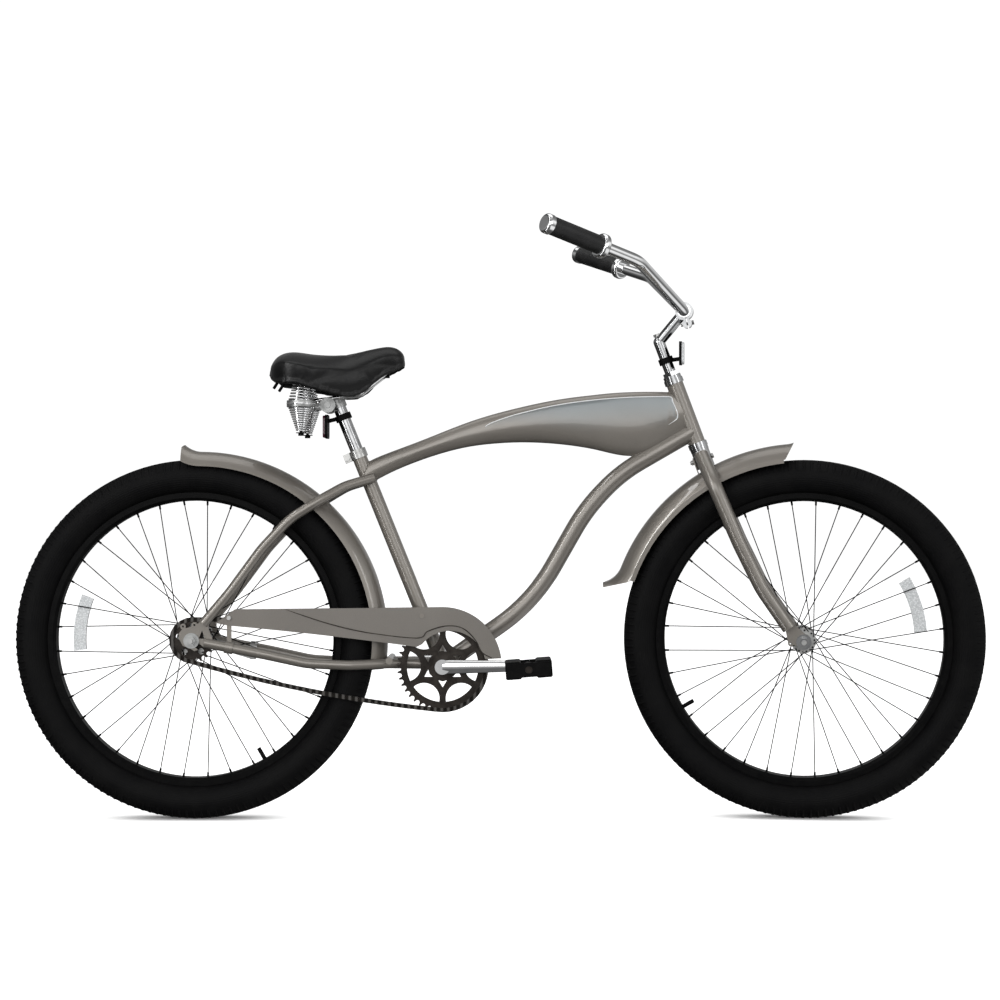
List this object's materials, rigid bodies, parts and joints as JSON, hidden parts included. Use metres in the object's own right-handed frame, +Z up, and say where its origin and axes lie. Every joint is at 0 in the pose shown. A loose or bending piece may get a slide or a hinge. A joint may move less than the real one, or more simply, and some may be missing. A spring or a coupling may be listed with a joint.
{
  "type": "beach cruiser bicycle",
  "caption": "Beach cruiser bicycle with balloon tyres, tank top tube, swept-back bars, fenders, chain guard, sprung saddle and coaster brake.",
  "frame": {"origin": "on the ground, midway between the two axles", "axes": "+X forward, +Y rider's left, +Z up"},
  "size_m": [1.8842, 0.7696, 1.1648],
  "materials": {
    "frame_paint": "metallic gloss",
    "black_metal": "black gloss",
    "chrome": "bright plated",
    "plated_steel": "zinc plated",
    "tyre_rubber": "matte",
    "black_plastic": "satin",
    "grip_rubber": "matte",
    "saddle_vinyl": "satin vinyl",
    "clear_lens": "clear prism",
    "red_lens": "red prism"
  },
  "bodies": {
    "frame": {"head_tube": "frame_paint", "top_tube_tank": "frame_paint", "down_tube": "frame_paint", "seat_tube": "frame_paint", "bottom_bracket_shell": "frame_paint", "seat_stays": "frame_paint", "chain_stays": "frame_paint", "rear_dropouts": "frame_paint", "seat_collar": "plated_steel", "bearing_cups": "chrome", "bearing_balls": "plated_steel", "rear_fender": "frame_paint", "chain_guard": "frame_paint", "guard_brackets": "plated_steel", "frame_bolts": "plated_steel", "rear_axle": "plated_steel", "rear_axle_nuts": "chrome", "brake_arm": "plated_steel", "brake_shoes": "plated_steel", "chain": "black_metal"},
    "steering": {"fork_steerer": "frame_paint", "fork_blades": "frame_paint", "headset_races": "chrome", "front_fender": "frame_paint", "front_fender_bolt": "plated_steel", "front_axle": "plated_steel", "front_axle_nuts": "chrome"},
    "stem": {"stem": "chrome", "stem_bolts": "plated_steel", "front_reflector": "clear_lens"},
    "handlebar": {"handlebar": "chrome", "grips": "grip_rubber", "grip_trims": "chrome"},
    "front_wheel": {"front_tyre": "tyre_rubber", "front_inner_tube": "tyre_rubber", "front_rim": "black_metal", "front_spokes": "black_metal", "front_hub_shell": "black_metal", "front_wheel_reflector": "clear_lens"},
    "rear_wheel": {"rear_tyre": "tyre_rubber", "rear_inner_tube": "tyre_rubber", "rear_rim": "black_metal", "rear_spokes": "black_metal", "rear_hub_shell": "plated_steel", "rear_wheel_reflector": "clear_lens"},
    "rear_sprocket": {"rear_sprocket": "plated_steel"},
    "crank": {"crank": "chrome", "chainring": "black_metal", "pedal_spindles": "plated_steel"},
    "right_pedal": {"right_pedal": "black_plastic"},
    "left_pedal": {"left_pedal": "black_plastic"},
    "seat_post": {"seat_post": "chrome", "saddle_clamp": "plated_steel", "rear_reflector": "red_lens"},
    "saddle_frame": {"saddle_clamp_plates": "plated_steel", "saddle_rails": "black_metal", "saddle_springs": "chrome"},
    "saddle_top": {"saddle_pan": "black_plastic", "saddle_cover": "saddle_vinyl"}
  },
  "joints": [
    {"name": "steering_turn", "type": "hinge", "parent": "frame", "child": "steering", "pos_m": [0.3865, 0, 0.7336], "axis": [-0.3535, 0, 0.9354], "range_deg": [-53, 67]},
    {"name": "stem_height", "type": "slide", "parent": "steering", "child": "stem", "axis": [-0.3535, 0, 0.9354], "range_m": [-0.006, 0.045]},
    {"name": "handlebar_tilt", "type": "hinge", "parent": "stem", "child": "handlebar", "pos_m": [0.36113, -0.00818, 0.98922], "axis": [0.114, 0.9925, 0.0431], "range_deg": [-15, 20]},
    {"name": "front_wheel_spin", "type": "hinge", "parent": "steering", "child": "front_wheel", "pos_m": [0.5931, -0.00707, 0.34985], "axis": [0.114, 0.9925, 0.0431], "continuous": true},
    {"name": "rear_wheel_spin", "type": "hinge", "parent": "frame", "child": "rear_wheel", "pos_m": [-0.5935, 0, 0.35], "axis": [0, 1, 0], "continuous": true},
    {"name": "crank_spin", "type": "hinge", "parent": "frame", "child": "crank", "pos_m": [-0.1095, 0, 0.3], "axis": [0, 1, 0], "continuous": true, "deforming": ["chain"]},
    {"name": "sprocket_spin", "type": "hinge", "parent": "frame", "child": "rear_sprocket", "pos_m": [-0.5935, 0, 0.35], "axis": [0, 1, 0], "continuous": true},
    {"name": "right_pedal_spin", "type": "hinge", "parent": "crank", "child": "right_pedal", "pos_m": [0.05547, 0, 0.30288], "axis": [0, 1, 0], "continuous": true},
    {"name": "left_pedal_spin", "type": "hinge", "parent": "crank", "child": "left_pedal", "pos_m": [-0.27448, 0, 0.29712], "axis": [0, 1, 0], "continuous": true},
    {"name": "seat_height", "type": "slide", "parent": "frame", "child": "seat_post", "axis": [-0.3746, 0, 0.9272], "range_m": [-0.05, 0.06]},
    {"name": "saddle_tilt", "type": "hinge", "parent": "seat_post", "child": "saddle_frame", "pos_m": [-0.33335, 0, 0.80599], "axis": [0, 1, 0], "range_deg": [-8, 8]},
    {"name": "saddle_bounce", "type": "hinge", "parent": "saddle_frame", "child": "saddle_top", "pos_m": [-0.222, 0, 0.866], "axis": [0, -1, 0], "range_deg": [0, 3.5], "stiffness_Nm_per_rad": 600, "springref_deg": -0.57, "deforming": ["saddle_springs"]}
  ],
  "couplings": [
    {"joint": "sprocket_spin", "follows": "crank_spin", "ratio": 2.1}
  ]
}
